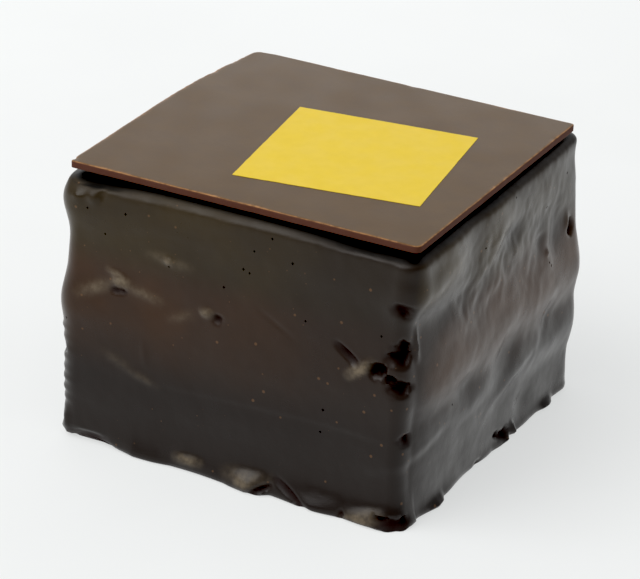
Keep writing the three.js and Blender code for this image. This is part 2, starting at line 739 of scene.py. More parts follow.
def right_hand_relief() -> list[Feature]:
    """The coating of the right-hand side: slanting folds over the layers beneath."""
    side = Side.RIGHT
    up = Stand.ABOVE
    slant = math.radians(38)
    steep = math.radians(62)
    return [
        FootLine(side, (
            (-31, 0.0), (-27.5, 0.2), (-24, 0.6), (-21, 1.3), (-19.2, 1.6), (-17.4, 1.2),
            (-16.2, 0.4), (-9, 0.2), (-3.4, 0), (1.5, 0.3), (4.2, 1.0), (6.6, 1.2), (8, 0.2),
            (15.4, 0.5), (20, 0.9), (22.5, 0.8), (24, 0.1), (28.9, 0.3),
        ), 1.3),
        CornerEase(4, 1.3, 20, 18),
        Swell(side, 0, 21, 40, 13, 0.6),
        Swell(side, 30.5, 24, 7, 5, 0.45),
        Swell(side, 30.5, 12, 7, 12, 0.3),
        Swell(side, 30.5, 2, 6, 3, 0.4),
        Swell(side, 30.5, 41.5, 6, 3.2, -0.6),
        Ledge(side, (-36, 42.2), (-6, 43), 0.25, 6, up, 2.6, 0.3),
        Ledge(side, (-36, 34.2), (-6, 41.4), 0.5, 4, up, 4.2, 0.3),
        Swell(side, -25, 38.6, 9, 3.6, 0.62),
        Swell(side, -19, 33.2, 7, 2.4, -0.6),
        Swell(side, -17, 28.8, 6, 2.6, 0.3),
        Ledge(side, (-12, 30.2), (4, 41.6), 0.5, 9, up, 3.6, 0.2),
        Ledge(side, (-6, 34), (6, 41.6), 0.3, 3, up, 2.6, 0.2),
        Swell(side, 4.8, 37.2, 2.8, 1.7, -0.5),
        Swell(side, 5.4, 33.9, 2.6, 1.5, 0.3),
        Swell(side, 14.6, 31.8, 2.4, 1.8, -0.4),
        Swell(side, 17.4, 30.6, 1.6, 2.6, 0.25),
        Swell(side, 17.2, 29.2, 0.6, 0.6, 0.35),
        Swell(side, 21, 31.6, 2.8, 3.6, -0.6),
        Ledge(side, (-40, 17), (10, 21), 0.7, 5, up, 5.4, 0.5),
        Ledge(side, (-6, 20), (42, 19.6), 0.8, 5, up, 5.6, 0.4),
        Swell(side, -10.5, 17.2, 4.2, 2.4, -0.5),
        Streak(side, (1.4, 13.8), (5.6, 20.6), 3.4, -0.52, 3),
        Streak(side, (16.6, 16.2), (20.4, 20.2), 1.6, -0.35, 3),
        Swell(side, 17.3, 18.6, 0.7, 0.7, -0.4),
        Swell(side, 20.6, 16.4, 4.2, 2.4, -0.5),
        Ledge(side, (-40, 7), (-12, 14.6), 0.4, 4, up, 2.4, 0.2),
        Ledge(side, (-22, 12), (6, 12.6), 0.42, 4, up, 3.2, 0.3),
        Ledge(side, (-6, 6.6), (18, 15.6), 0.42, 3, up, 2.2, 0.15),
        Ledge(side, (-4, 10.6), (44, 10.6), 0.9, 5, up, 6, 0.3),
        Swell(side, 12.5, 5, 3, 2.4, -0.4),
        Hollow(side, 1.9, ((26.2, 30.2, 0.9, 1.1),)),
        Swell(side, 25, 31.5, 0.6, 1.4, 0.35),
        Hollow(side, 1.0, ((2.8, 2.7, 0.7, 0.4), (5.8, 1.6, 1.5, 0.7), (4.3, 2, 0.9, 0.5)), 3),
        Streak(side, (8.4, 2.4), (9.2, 0.2), 0.5, 0.8),
        Swell(side, -3.6, 0.6, 1, 0.4, -0.7),
        Swell(side, 21, 0.4, 1.8, 0.9, 0.6),
        Rumple(side, -4, 35, 13, 7, 0.11, 1.4, 2.4, steep, 3.1),
        Rumple(side, -7, 33, 11, 6, 0.17, 2.8, 4, steep, 6.7),
        Rumple(side, 12, 34, 14, 9, 0.08, 1.5, 2, steep, 5.7),
        Rumple(side, 2, 30, 24, 12, 0.16, 4.6, 7, slant, 8.3),
        Rumple(side, 4, 15, 26, 6, 0.1, 4, 6, slant, 12.9),
    ]


def front_relief() -> list[Feature]:
    """The coating of the front: almost smooth, with smears, dents and a broken foot."""
    side = Side.FRONT
    slant = math.radians(25)
    return [
        FootLine(side, (
            (-31, 0.2), (-27, 0), (-22, 0.1), (-16.9, 1.0), (-10.3, 0.3), (-8, 0.5), (-4.5, 0.8),
            (-0.5, 1.0), (1.8, 1.6), (4.7, 2.3), (6.1, 2.0), (7.5, 1.0), (10.7, 1.3), (14.9, 1.7),
            (20.8, 1.5), (28, 1.9), (29.8, 1.4), (31.1, 0.6), (33, 0.4),
        ), 3.0),
        Swell(side, -31, 41.5, 7, 3.4, 0.7),
        Swell(side, -31, 35.2, 7, 2.8, -0.2),
        Swell(side, -31, 24, 8, 3.4, 0.5),
        Swell(side, -31, 15, 8, 8, 0.35),
        Swell(side, -27.4, 42.6, 0.9, 0.9, 0.4),
        Swell(side, -24.8, 42.9, 1.2, 1.0, 0.5),
        Streak(side, (-23, 44.6), (-23.6, 42.4), 0.5, -0.4),
        Swell(side, -29, 45, 3, 2, -1.0),
        *front_highlighted_scuffs(),
        Hollow(side, 0.4, ((-20.5, 28, 1.0, 0.45), (-19.4, 28.1, 0.7, 0.35)), 2.4),
        Hollow(side, 0.7, ((-2.8, 27.6, 0.9, 0.6),), 2.4),
        Streak(side, (-15.6, 20.6), (-15.2, 16.5), 0.6, 0.12),
        Ledge(side, (-26, 14.2), (43, 14), 0.14, 8, Stand.ABOVE, 1.0, 0.6),
        Streak(side, (17.9, 29), (21.6, 26.5), 0.5, -0.8, 3),
        Hollow(side, 1.6, ((25.1, 26.2, 1.5, 1.0), (27.2, 25.3, 1, 0.6), (28.8, 24, 1.5, 1.1))),
        Swell(side, 30, 41, 2.4, 7, 0.5),
        Hollow(side, 1.2, ((28.4, 37.2, 1.2, 0.9), (28.8, 36.6, 0.7, 0.8)), 3),
        Hollow(side, 2.0, ((28.6, 28.9, 1.9, 1.2), (28.9, 30.1, 1.3, 1.5))),
        Streak(side, (31.6, 33.4), (32.3, 28), 0.6, 0.6),
        Hollow(side, 1.0, ((30.1, 15.0, 1.2, 0.9),), 3),
        Streak(side, (4.5, 31), (10.5, 27.8), 0.35, -0.14),
        Streak(side, (4.4, 0.3), (7.8, 1.9), 0.45, -0.9, 3),
        Streak(side, (8.6, 3.3), (15, -0.3), 0.45, -0.65, 3),
        Hollow(side, 0.6, ((20.4, 0.9, 0.5, 0.6),), 3),
        Hollow(side, 1.2, ((27.2, 1.7, 1.3, 0.5), (28.7, 1.1, 1.6, 0.9), (30.1, 1.4, 0.8, 0.8)), 4),
        Hollow(side, 0.6, ((-25.4, 0.5, 4.2, 1.1),)),
        Swell(side, -29.4, 2.6, 0.7, 2, 0.5),
        *edge_nicks(),
        Rumple(side, -10, 40.6, 17, 4, 0.06, 1.4, 7, math.radians(6), 31.1),
        Rumple(side, -4, 31, 26, 12, 0.06, 3, 9, slant, 21.3),
        Rumple(side, 2, 8, 28, 8, 0.04, 4, 10, slant, 25.9),
    ]


def front_highlighted_scuffs() -> list[HighlightedScuff]:
    """The raised, dull smears on the front and along its foot, with painted highlights that make them
    paler.
    """
    side = Side.FRONT
    return [
        HighlightedScuff(Streak(side, (-14.8, 35.7), (-7.8, 34.9), 0.8, 0.15), 0.35),
        HighlightedScuff(Swell(side, -11.4, 35.2, 0.9, 0.6, 0.3, 3), 0.9),
        HighlightedScuff(Streak(side, (-27, 26.4), (-20.6, 29.5), 0.9, 0.2), 0.6),
        HighlightedScuff(Swell(side, -19.7, 29.7, 1.6, 1.0, 0.35, 3), 1.0),
        HighlightedScuff(Streak(side, (-19.2, 30.5), (-22.2, 31.2), 0.5, 0.2, 3), 0.7),
        HighlightedScuff(Streak(side, (-18.4, 29.2), (-12.8, 28.1), 0.8, 0.2), 0.5),
        HighlightedScuff(Swell(side, -4.6, 28.2, 1.1, 0.8, 0.35, 3), 0.9),
        HighlightedScuff(Streak(side, (-10.8, 25.6), (-7, 27.3), 0.7, 0.15), 0.3),
        HighlightedScuff(Streak(side, (-22.3, 17), (-17.6, 15.3), 0.9, 0.1), 0.15),
        HighlightedScuff(Streak(side, (-18.6, 15.2), (-13.2, 13.5), 0.7, 0.15), 0.2),
        HighlightedScuff(Streak(side, (20.4, 24.5), (24, 27.2), 0.9, 0.4, 4), 0.9),
        HighlightedScuff(Swell(side, 23.2, 26.5, 0.9, 0.7, 0.1, 3), 0.9),
        HighlightedScuff(Streak(side, (-9.2, 2.1), (-5, 2.3), 0.8, 0.35, 3), 0.75),
        HighlightedScuff(Streak(side, (0, 2.2), (7.2, 2.7), 1.0, 0.25), 0.5),
        HighlightedScuff(Swell(side, 3.4, 1.8, 1.9, 1.1, 0.35, 3), 0.75),
        HighlightedScuff(Streak(side, (20.9, 0), (26.5, 1.9), 1.3, 0.35, 4), 0.8),
    ]


def edge_nicks() -> list[Swell]:
    """The small scallops down the lower part of the front's left-hand edge."""
    draw = random.Random(5)
    edge, lowest, spacing, count = -30.6, 3.6, 1.75, 10
    return [
        Swell(
            Side.FRONT, edge + draw.uniform(-0.5, 0.5),
            lowest + spacing * step + draw.uniform(-0.3, 0.3),
            draw.uniform(1, 2), draw.uniform(0.45, 0.8), draw.uniform(0.12, 0.3),
        )
        for step in range(count)
    ]


def hidden_relief(side: Side, seed: int) -> list[Feature]:
    """The coating of a side that the picture doesn't show, finished like the two that it does.

    Args:
        side: the back or the left-hand side.
        seed: starts the same draws on every run.

    Returns:
        Features like those of the visible sides, at drawn places.
    """
    draw = random.Random(seed)
    slant = math.radians(draw.uniform(30, 48))
    foot = tuple((-26 + 4 * step, draw.uniform(0, 1.4)) for step in range(14))
    features: list[Feature] = [
        FootLine(side, ((-30, 0.1), *foot, (30, 0.1)), 2.4),
        Ledge(side, (-28, draw.uniform(10, 13)), (-4, draw.uniform(10, 13)), 0.25, 5, Stand.ABOVE),
        Ledge(side, (2, draw.uniform(9, 13)), (28, draw.uniform(9, 13)), 0.2, 5),
        Ledge(side, (-26, 21), (27, 22), 0.22, 5, Stand.ABOVE, 2.4, 0.9),
        Rumple(side, 0, 32, 24, 10, 0.04, 1.6, 3.5, slant + 0.25, seed + 0.9),
        Rumple(side, draw.uniform(-12, 0), 30, 18, 12, 0.13, 4, 8, slant, seed + 0.3),
        Rumple(side, draw.uniform(4, 14), 16, 20, 9, 0.1, 3.8, 8, slant, seed + 7.7),
    ]
    for _ in range(7):
        start = (draw.uniform(-26, 20), draw.uniform(12, 38))
        end = (start[0] + draw.uniform(3, 8), start[1] + draw.uniform(-1, 6))
        features.append(Streak(side, start, end, draw.uniform(0.7, 1.4), draw.uniform(0.2, 0.4)))
    for _ in range(6):
        place = (draw.uniform(-26, 26), draw.uniform(10, 38))
        reach = (draw.uniform(2, 5), draw.uniform(1.6, 3.4))
        features.append(Swell(side, *place, *reach, -draw.uniform(0.2, 0.45)))
    for _ in range(7):
        place = (draw.uniform(-27, 27), draw.uniform(0.4, 1.6))
        reach = (draw.uniform(1.4, 4), draw.uniform(0.8, 1.4))
        features.append(Swell(side, *place, *reach, draw.uniform(0.2, 0.9)))
    for _ in range(4):
        place = (draw.uniform(-28, 28), draw.uniform(0.6, 34))
        features.append(Swell(side, *place, 1.1, 0.9, -draw.uniform(0.8, 1.3), 3))
    return features


@dataclass(frozen=True)
class Sag:
    """A stretch of one side along which the coating's top edge hangs lower."""

    side: Side
    along: float
    reach: float
    depth: float

    def drop(self, skin: Skin) -> Array:
        """How much lower the edge hangs next to each point."""
        return self.depth * bell(skin.across(self.side, self.along), self.reach)


@dataclass(frozen=True)
class Pinholes:
    """Burst air bubbles of one size: those that the picture shows, and what is drawn elsewhere."""

    radius: float
    shown: dict[Side, tuple[Pair, ...]]
    hidden_count: int
    hidden_span: float
    hidden_heights: Pair

    def shown_spots(self) -> list[Spot]:
        """The places of those on the two sides that the picture shows."""
        return [(side, *pair) for side, pairs in self.shown.items() for pair in pairs]

    def drawn_spots(self, side: Side, draw: random.Random) -> list[Spot]:
        """Draws the places of those on one of the two other sides."""
        return [
            (side, draw.uniform(-self.hidden_span, self.hidden_span),
             draw.uniform(*self.hidden_heights))
            for _ in range(self.hidden_count)
        ]


@dataclass
class EnrobedBlock:
    """The uncut cake in its set chocolate coating."""

    layout: Layout
    wall: Wall = Wall(61.4, 60.2, 3.2, 0.7)
    corner_steps: int = 12
    shoulder: float = 2.3
    shoulder_steps: int = 10
    foot: float = 0.9
    foot_steps: int = 3
    stand_inset: float = 1.6
    columns: tuple[int, ...] = (5, 30)
    rows: tuple[int, ...] = (5, 22)
    flatness: float = 0.99
    smooth_degrees: float = 50
    rim_drop: float = 0.45
    rim_drop_inset: Pair = (4.0, 10.0)
    sags: tuple[Sag, ...] = (
        Sag(Side.FRONT, -28, 8, 0.8), Sag(Side.FRONT, 21, 9, 0.45), Sag(Side.RIGHT, -4, 24, 0.3),
        Sag(Side.BACK, 8, 20, 0.4), Sag(Side.LEFT, 6, 16, 0.5),
    )
    shoulder_fade: float = 2.2
    upward_share: float = 0.6
    standing: float = 0.01
    steep: float = 0.5
    arch_place: float = -27
    arch_reach: float = 5
    arch_rise: float = 1.0
    arch_fade: float = 2.4
    ripples: tuple[Ripple, ...] = (Ripple(0.2, 13, 4.1), Ripple(0.08, 5, 9.4), Ripple(0.03, 1.9, 2.7))
    rim_ripple: Ripple = Ripple(0.09, 1.3, 6.2)
    rim_ripple_height: float = 44.6
    rim_ripple_reach: float = 1.4
    rolls: tuple[Roll, ...] = (
        Roll(40.5, 3.2, 0.3, 3, 0.4), Roll(23.5, 4.2, 0.4, 3, 2.1), Roll(10.5, 3, 0.15, 4, 4.4),
        Roll(0, 1.4, 0.2, 0, 1.3, waver=0, even=0, uneven=1, uneven_waves=17),
    )
    pinholes: tuple[Pinholes, ...] = (
        Pinholes(0.4, {
            Side.FRONT: ((-19.2, 41.2), (-2.0, 33.3), (1.3, 37.2), (16.1, 17.2), (9.8, 40.1)),
            Side.RIGHT: ((16.8, 37.1), (18.3, 26.4)),
        }, 4, 26, (8, 41)),
        Pinholes(0.28, {
            Side.FRONT: (
                (-25.7, 40.8), (-22.9, 36.9), (3.2, 40.6), (2.5, 36.6), (6.2, 43.5),
                (12.4, 31.1), (25.4, 32.0), (15.9, 13.5), (-29.3, 21.2), (-11.3, 34.3),
            ),
            Side.RIGHT: ((-6.6, 38.9), (24.4, 40.1), (-15.5, 16.1), (17.6, 27.3), (4.6, 43.4)),
        }, 9, 27, (5, 43)),
    )
    pinhole_depth: float = 0.7
    pinhole_taper: float = 0.2
    pinhole_clear: float = 0.5
    # painted shade round the pinholes, in the deep holes and along the underside near the ground
    pinhole_shade: Pair = (0.45, 0.75)
    recess_shade_spread: float = 0.7
    underside_shade_height: float = 0.6
    underside_shade_facing: float = -0.3
    # painted shade: how upward and how high the coating must face to be darkened as the gap under the
    # plaque
    gap_shade_facing: Pair = (0.8, 0.95)
    gap_shade_above: float = 40
    seed: int = 11
    features: list[Feature] = field(default_factory=list)
    pinhole_ends: list[Array] = field(default_factory=list)

    @property
    def seat(self) -> float:
        """The height of the flat top above the ground."""
        return (self.layout.seat - self.layout.middle.z) / MM

    def build(self) -> bpy.types.Object:
        """Models the block and returns it."""
        self.features = [
            *front_relief(),
            *right_hand_relief(),
            *hidden_relief(Side.BACK, 41),
            *hidden_relief(Side.LEFT, 73),
        ]
        piece = self._rolled_box()
        self._raise_relief(piece)
        self._prick_pinholes(piece)
        self._paint_marks(piece)
        smooth(piece, self.smooth_degrees)
        return piece

    def _rolled_box(self) -> bpy.types.Object:
        """A box with rounded uprights, a rolled top edge and a fine even mesh on its walls."""
        wall, layout = self.wall, self.layout
        top, bottom = layout.seat, layout.middle.z
        height = top - bottom
        centre = layout.middle + Vector((0, wall.back_shift * MM, height / 2))
        size = Vector((wall.width * MM, wall.depth * MM, height))
        piece = new_block("enrobed_cake", centre, size)
        with Bench(piece) as bench:
            bench.bevel(
                lambda edge: runs_along(edge, Axis.Z, NEARLY_WHOLE * height),
                wall.radius, self.corner_steps,
            )
            bench.bevel(
                lambda edge: all(point.co.z > top - NEARLY_LEVEL for point in edge.verts),
                self.shoulder, self.shoulder_steps,
            )
            bench.bevel(
                lambda edge: all(point.co.z < bottom + NEARLY_LEVEL for point in edge.verts),
                self.foot, self.foot_steps,
            )
            bench.cut(Axis.X, 2 * wall.half_x * MM, self.columns)
            bench.cut(Axis.Y, 2 * wall.half_y * MM, self.columns)
            bench.cut(Axis.Z, height - (self.shoulder + self.foot) * MM, self.rows)
            under_plaque = self.rim_drop_inset[1] * MM
            bench.merge_faces(lambda face: self._faces(face, 1, centre, size, under_plaque))
            bench.merge_faces(lambda face: self._faces(face, -1, centre, size, 0))
            bench.select_faces(lambda face: self._faces(face, -1, centre, size, 0))
            for _ in range(2):
                bpy.ops.mesh.inset(thickness=self.stand_inset * MM / 2)
        return piece

    def _faces(
        self, face: bmesh.types.BMFace, way: int, centre: Vector, size: Vector, inset: float
    ) -> bool:
        """Says whether a face belongs to the flat top or the flat underside.

        Args:
            face: the face.
            way: 1 for the top, -1 for the underside.
            centre: the middle of the block, in metres.
            size: the block's three lengths, in metres.
            inset: how far inside the outline the face must lie at least, in metres.

        Returns:
            True if it does.
        """
        away = face.calc_center_median() - centre
        inside = min(size.x / 2 - abs(away.x), size.y / 2 - abs(away.y))
        level = abs(away.z - way * size.z / 2) < NEARLY_LEVEL
        return level and face.normal.z * way > self.flatness and inside >= inset

    def _skin(self, piece: bpy.types.Object) -> Skin:
        """Reads the block's points as they are now."""
        return Skin.read(piece, self.wall, self.layout.middle)

    def _raise_relief(self, piece: bpy.types.Object) -> None:
        """Moves the walls' points out and in to the shape of the set coating."""
        skin = self._skin(piece)
        height = skin.height
        lift = np.zeros(len(height))
        for feature in self.features:
            lift += feature.lift(skin)
        lift += self._broad_unevenness(skin)
        outward = vertex_rows(piece, "normal") * (1, 1, self.upward_share)
        outward[:, 2] = np.where(height > self.seat / 2, np.maximum(outward[:, 2], 0), 0)
        level = np.hypot(outward[:, 0], outward[:, 1])
        under = (height < self.foot) & (level > NEGLIGIBLE)
        outward[under] /= level[under, None]
        underside = (height < self.standing) & (level < self.steep)
        strength = smooth_step((self.seat - height) / self.shoulder_fade)
        strength = np.where(underside, 0, strength)
        raised = self._arch(skin) - self._sunken_rim(skin)
        places = skin.places + outward * (lift * strength)[:, None]
        places[:, 2] = np.clip(places[:, 2] + raised, 0, self.seat)
        move_points(piece, places, np.array(self.layout.middle))

    def _broad_unevenness(self, skin: Skin) -> Array:
        """Slow swellings all over, the rolls round the block, and the finest ripple."""
        lift = sum(ripple.at(skin.places) for ripple in self.ripples)
        near_rim = bell(skin.height - self.rim_ripple_height, self.rim_ripple_reach)
        lift += self.rim_ripple.at(skin.places) * near_rim
        for roll in self.rolls:
            lift += roll.lift(skin)
        return lift

    def _sunken_rim(self, skin: Skin) -> Array:
        """How far the coating round the top has sunk away from the plaque."""
        start, end = self.rim_drop_inset
        share = 1 - smooth_step((skin.inset - start) / (end - start))
        upper = smooth_step((skin.height - self.seat + self.shoulder) / self.shoulder)
        drop = np.full_like(skin.around, self.rim_drop)
        for sag in self.sags:
            drop += sag.drop(skin)
        return drop * share * upper

    def _arch(self, skin: Skin) -> Array:
        """How far the lower edge is lifted where it stays clear of the ground."""
        share = bell(skin.across(Side.FRONT, self.arch_place), self.arch_reach)
        outer = smooth_step((self.foot + self.stand_inset / 2 - skin.inset) / self.foot)
        return self.arch_rise * share * outer * bell(skin.height, self.arch_fade)

    def _prick_pinholes(self, piece: bpy.types.Object) -> None:
        """Opens the small round holes that burst air bubbles left in the coating."""
        draw = random.Random(self.seed)
        spots = [holes.shown_spots() for holes in self.pinholes]
        for side in (Side.BACK, Side.LEFT):
            for holes, chosen in zip(self.pinholes, spots):
                chosen += holes.drawn_spots(side, draw)
        for holes, chosen in zip(self.pinholes, spots):
            self._prick(piece, chosen, holes.radius * MM)

    def _prick(self, piece: bpy.types.Object, spots: list[Spot], radius: float) -> None:
        """Opens a round hole at the mesh point nearest to each spot.

        Args:
            piece: the block.
            spots: the side of each hole, its place along the side and its height.
            radius: the holes' radius in metres.
        """
        skin = self._skin(piece)
        too_high = skin.height > self.seat - self.pinhole_clear
        chosen = set()
        for side, along, height in spots:
            distance = np.hypot(skin.across(side, along), skin.height - height)
            distance[too_high] = np.inf
            chosen.add(int(np.argmin(distance)))
        inward = vertex_rows(piece, "normal")[list(chosen)] * self.pinhole_depth
        self.pinhole_ends.extend(skin.places[list(chosen)] - inward)
        with Bench(piece) as bench:
            bench.select_vertices(chosen)
            bpy.ops.mesh.bevel(offset=radius, segments=2, affect="VERTICES")
            bpy.ops.mesh.select_mode(type="FACE")
            bpy.ops.mesh.inset(
                thickness=radius * self.pinhole_taper, depth=-self.pinhole_depth * MM,
                use_individual=True,
            )

    def _paint_marks(self, piece: bpy.types.Object) -> None:
        """Paints shade into the gap under the plaque, into the holes, round the pinholes and along
        the underside, and paints highlights onto the raised smears, which makes them pale.
        """
        skin = self._skin(piece)
        facing = vertex_rows(piece, "normal")[:, 2]
        # painted shade in the gap under the plaque: the upward-facing top is darkened
        low, high = self.gap_shade_facing
        gap_shade = smooth_step((facing - low) / (high - low)) * (skin.height > self.gap_shade_above)
        # painted shade along the underside, in the deep holes and round the pinholes
        recess_shade = smooth_step((self.underside_shade_height - skin.height) / self.underside_shade_height)
        recess_shade = recess_shade * (facing < self.underside_shade_facing)
        # painted highlights on the raised smears
        scuff_highlight = np.zeros_like(facing)
        for feature in self.features:
            if isinstance(feature, HighlightedScuff):
                scuff_highlight = np.maximum(scuff_highlight, feature.share(skin))
            elif isinstance(feature, Patch) and feature.deep:
                recess_shade = np.maximum(recess_shade, feature.share(skin) ** self.recess_shade_spread)
        dark, plain = self.pinhole_shade
        for end in self.pinhole_ends:
            away = np.linalg.norm(skin.places - end, axis=1)
            recess_shade = np.maximum(recess_shade, smooth_step((plain - away) / (plain - dark)))
        paint(piece, "gap_shade", gap_shade)
        paint(piece, "recess_shade", recess_shade)
        paint(piece, "scuff_highlight", scuff_highlight)

    def dress(self, piece: bpy.types.Object, coating: bpy.types.Material) -> None:
        """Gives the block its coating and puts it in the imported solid's place."""
        piece.data.materials.append(coating)
        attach(piece, BODY)
        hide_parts("cake_body")


# ---- The plaque -----------------------------------------------------------------------------


@dataclass(frozen=True)
class Chip:
    """A flake broken from the plaque's rim: how far it reaches, bites in and shows as scraped."""

    place: Pair
    reach: float
    bite: float
    scrape: float


@dataclass
class ChocolatePlaque:
    """The thin plaque, cut from a set sheet, with its broken rim."""

    layout: Layout
    cells: tuple[int, ...] = (10, 16)
    rim_rows: tuple[int, ...] = (4,)
    bevel: float = 0.14
    bevel_steps: int = 2
    upright: float = 0.1
    smooth_degrees: float = 40
    front_corner: float = 1.1
    small_corner: float = 0.45
    bow_start: float = 0.5
    bow_power: float = 1.9
    back_left_inset: float = 2.6
    dip: float = 0.9
    dip_from: Pair = (24, 22)
    dip_over: float = 6
    broken_width: float = 0.06
    broken_least: float = 0.2
    upper_margin: float = 1.1
    crumble: float = 0.5
    crumble_rise: float = 0.9
    crumble_size: float = 0.7
    crumble_most: float = 1.3
    rim_reach: float = 0.5
    bite_down: float = 0.6
    tremble: tuple[Ripple, ...] = (Ripple(0.035, 1.1, 3.3), Ripple(0.03, 4.2))
    scrape_reach: float = 0.35
    arris_reach: float = 0.16
    chips: tuple[Chip, ...] = (
        Chip((-24, -28), 1.6, 0.06, 0.9),
        Chip((-21, -28), 1.5, 0.05, 1.0),
        Chip((-15, -28), 2.4, 0.02, 0.35),
        Chip((-5, -28), 2.2, 0.05, 0.9),
        Chip((2.2, -28), 1.8, 0.12, 1.0),
        Chip((14, -28), 1.1, 0.04, 0.5),
        Chip((22, -28), 2.0, 0.03, 0.4),
        Chip((-30, -27), 0.7, 0.3, 0.4),
        Chip((-30.1, -17), 3.0, 0.05, 0.6),
        Chip((-30.1, -6), 2.6, 0.06, 0.7),
        Chip((-30, 2), 2.2, 0.06, 0.7),
        Chip((-29.4, 16), 2.6, 0.18, 1.0),
        Chip((-28.6, 22), 2.4, 0.22, 1.0),
        Chip((-29.9, 8), 2.4, 0.08, 0.7),
        Chip((30, -2), 0.9, 0.06, 0.8),
        Chip((30, 3), 1.2, 0.05, 0.7),
        Chip((1, 28), 1.0, 0.12, 0.6),
        Chip((30, 21), 1.6, 0.1, 0.8),
        Chip((-12, 28), 2.0, 0.06, 0.8),
        Chip((18, 28), 2.4, 0.05, 0.8),
    )

    def build(self) -> bpy.types.Object:
        """Models the plaque and returns it."""
        low, high = self.layout.plaque_low, self.layout.plaque_high
        size = high - low
        piece = new_block("top_plaque", (high + low) / 2, size)
        with Bench(piece) as bench:
            bench.cut(Axis.X, size.x, self.cells)
            bench.cut(Axis.Y, size.y, self.cells)
            bench.merge_faces(faces_down)
            bench.bevel(self._is_rim, self.bevel, self.bevel_steps)
            bench.cut(Axis.Z, size.z - 2 * self.bevel * MM, self.rim_rows)
        self._shape(piece, size / MM)
        smooth(piece, self.smooth_degrees)
        return piece

    def _is_rim(self, edge: bmesh.types.BMEdge) -> bool:
        """Says whether an edge lies on the upper or lower outline of the slab."""
        level = abs(edge.verts[0].co.z - edge.verts[1].co.z) < NEARLY_LEVEL
        facings = sorted(abs(face.normal.z) for face in edge.link_faces)
        outline = len(facings) == 2 and facings[1] > NEARLY_WHOLE and facings[0] < self.upright
        return level and outline

    def _shape(self, piece: bpy.types.Object, size: Vector) -> None:
        """Bows the left edge, rounds the corners and breaks the rim.

        Args:
            piece: the plain plaque.
            size: its three lengths, in millimetres.
        """
        layout = self.layout
        middle = np.array((layout.middle.x, layout.middle.y, layout.plaque_low.z))
        places = read_places(piece, middle)
        x, y, z = places.T
        half_x, half_y = size.x / 2, size.y / 2
        inside_x, inside_y = half_x - np.abs(x), half_y - np.abs(y)
        rim = np.minimum(inside_x, inside_y)
        close = bell(rim, self.rim_reach)
        upper = smooth_step((z - size.z + self.bevel * self.upper_margin) / self.bevel)
        bite, scrape = self._chipped(places)
        pull = close * (bite + sum(ripple.at(places) for ripple in self.tremble))
        new_x = x - np.where(inside_x <= inside_y, np.sign(x), 0) * pull
        new_y = y - np.where(inside_y < inside_x, np.sign(y), 0) * pull
        for way_x, way_y, radius in (
            (1, -1, self.front_corner), (1, 1, self.small_corner),
            (-1, -1, self.small_corner), (-1, 1, self.front_corner),
        ):
            self._round_corner(new_x, new_y, way_x * half_x, way_y * half_y, radius)
        start = (self.bow_start * 2 - 1) * half_y
        bowed = np.clip((new_y - start) / (half_y - start), 0, 1) ** self.bow_power
        new_x = new_x + bowed * self.back_left_inset * np.clip(-new_x / half_x, 0, 1)
        leftwards, backwards = (
            np.clip((beyond - begin) / self.dip_over, 0, 1)
            for beyond, begin in zip((-new_x, new_y), self.dip_from)
        )
        new_y = new_y - self.dip * leftwards * backwards * np.clip(new_y / half_y, 0, 1)
        new_z = np.clip(z - upper * close * bite * self.bite_down, 0, size.z)
        move_points(piece, np.stack([new_x, new_y, new_z], 1), middle)
        broken = (self.broken_width - rim) / self.broken_width + self.broken_least
        paint(piece, "broken", smooth_step(broken))
        paint(piece, "scrape", np.clip(scrape, 0, 1) * upper * bell(rim, self.scrape_reach))
        # a pale line along the top edge: partly scraped wear, partly a painted highlight
        paint(piece, "arris_wear_and_highlight", upper * bell(rim, self.arris_reach))

    def _chipped(self, places: Array) -> tuple[Array, Array]:
        """How far the chips bite into the rim, and how scraped it looks, at each place."""
        bite, scrape = np.zeros(len(places)), np.zeros(len(places))
        for chip in self.chips:
            away = np.hypot(places[:, 0] - chip.place[0], places[:, 1] - chip.place[1])
            near = bell(away, chip.reach)
            crumbled = Ripple(self.crumble_rise, self.crumble_size, chip.reach).at(places)
            ragged = np.clip(self.crumble + crumbled, 0, self.crumble_most)
            bite = np.maximum(bite, chip.bite * near * ragged)
            scrape = np.maximum(scrape, chip.scrape * near)
        return bite, scrape

    @staticmethod
    def _round_corner(x: Array, y: Array, corner_x: float, corner_y: float, radius: float) -> None:
        """Pulls the points of one sharp corner in to an arc, in place."""
        way_x, way_y = math.copysign(1, corner_x), math.copysign(1, corner_y)
        from_x, from_y = (corner_x - x) * way_x, (corner_y - y) * way_y
        inside = (from_x < radius) & (from_y < radius)
        side_x, side_y = radius - from_x[inside], radius - from_y[inside]
        longest = np.maximum(side_x, side_y)
        shrink = longest / np.maximum(np.hypot(side_x, side_y), NEGLIGIBLE)
        x[inside] = corner_x - way_x * (radius - side_x * shrink)
        y[inside] = corner_y - way_y * (radius - side_y * shrink)

    def dress(self, piece: bpy.types.Object, chocolate: bpy.types.Material) -> None:
        """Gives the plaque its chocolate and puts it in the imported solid's place."""
        piece.data.materials.append(chocolate)
        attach(piece, BODY)
        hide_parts("chocolate_plaque")


# ---- The yellow square ----------------------------------------------------------------------


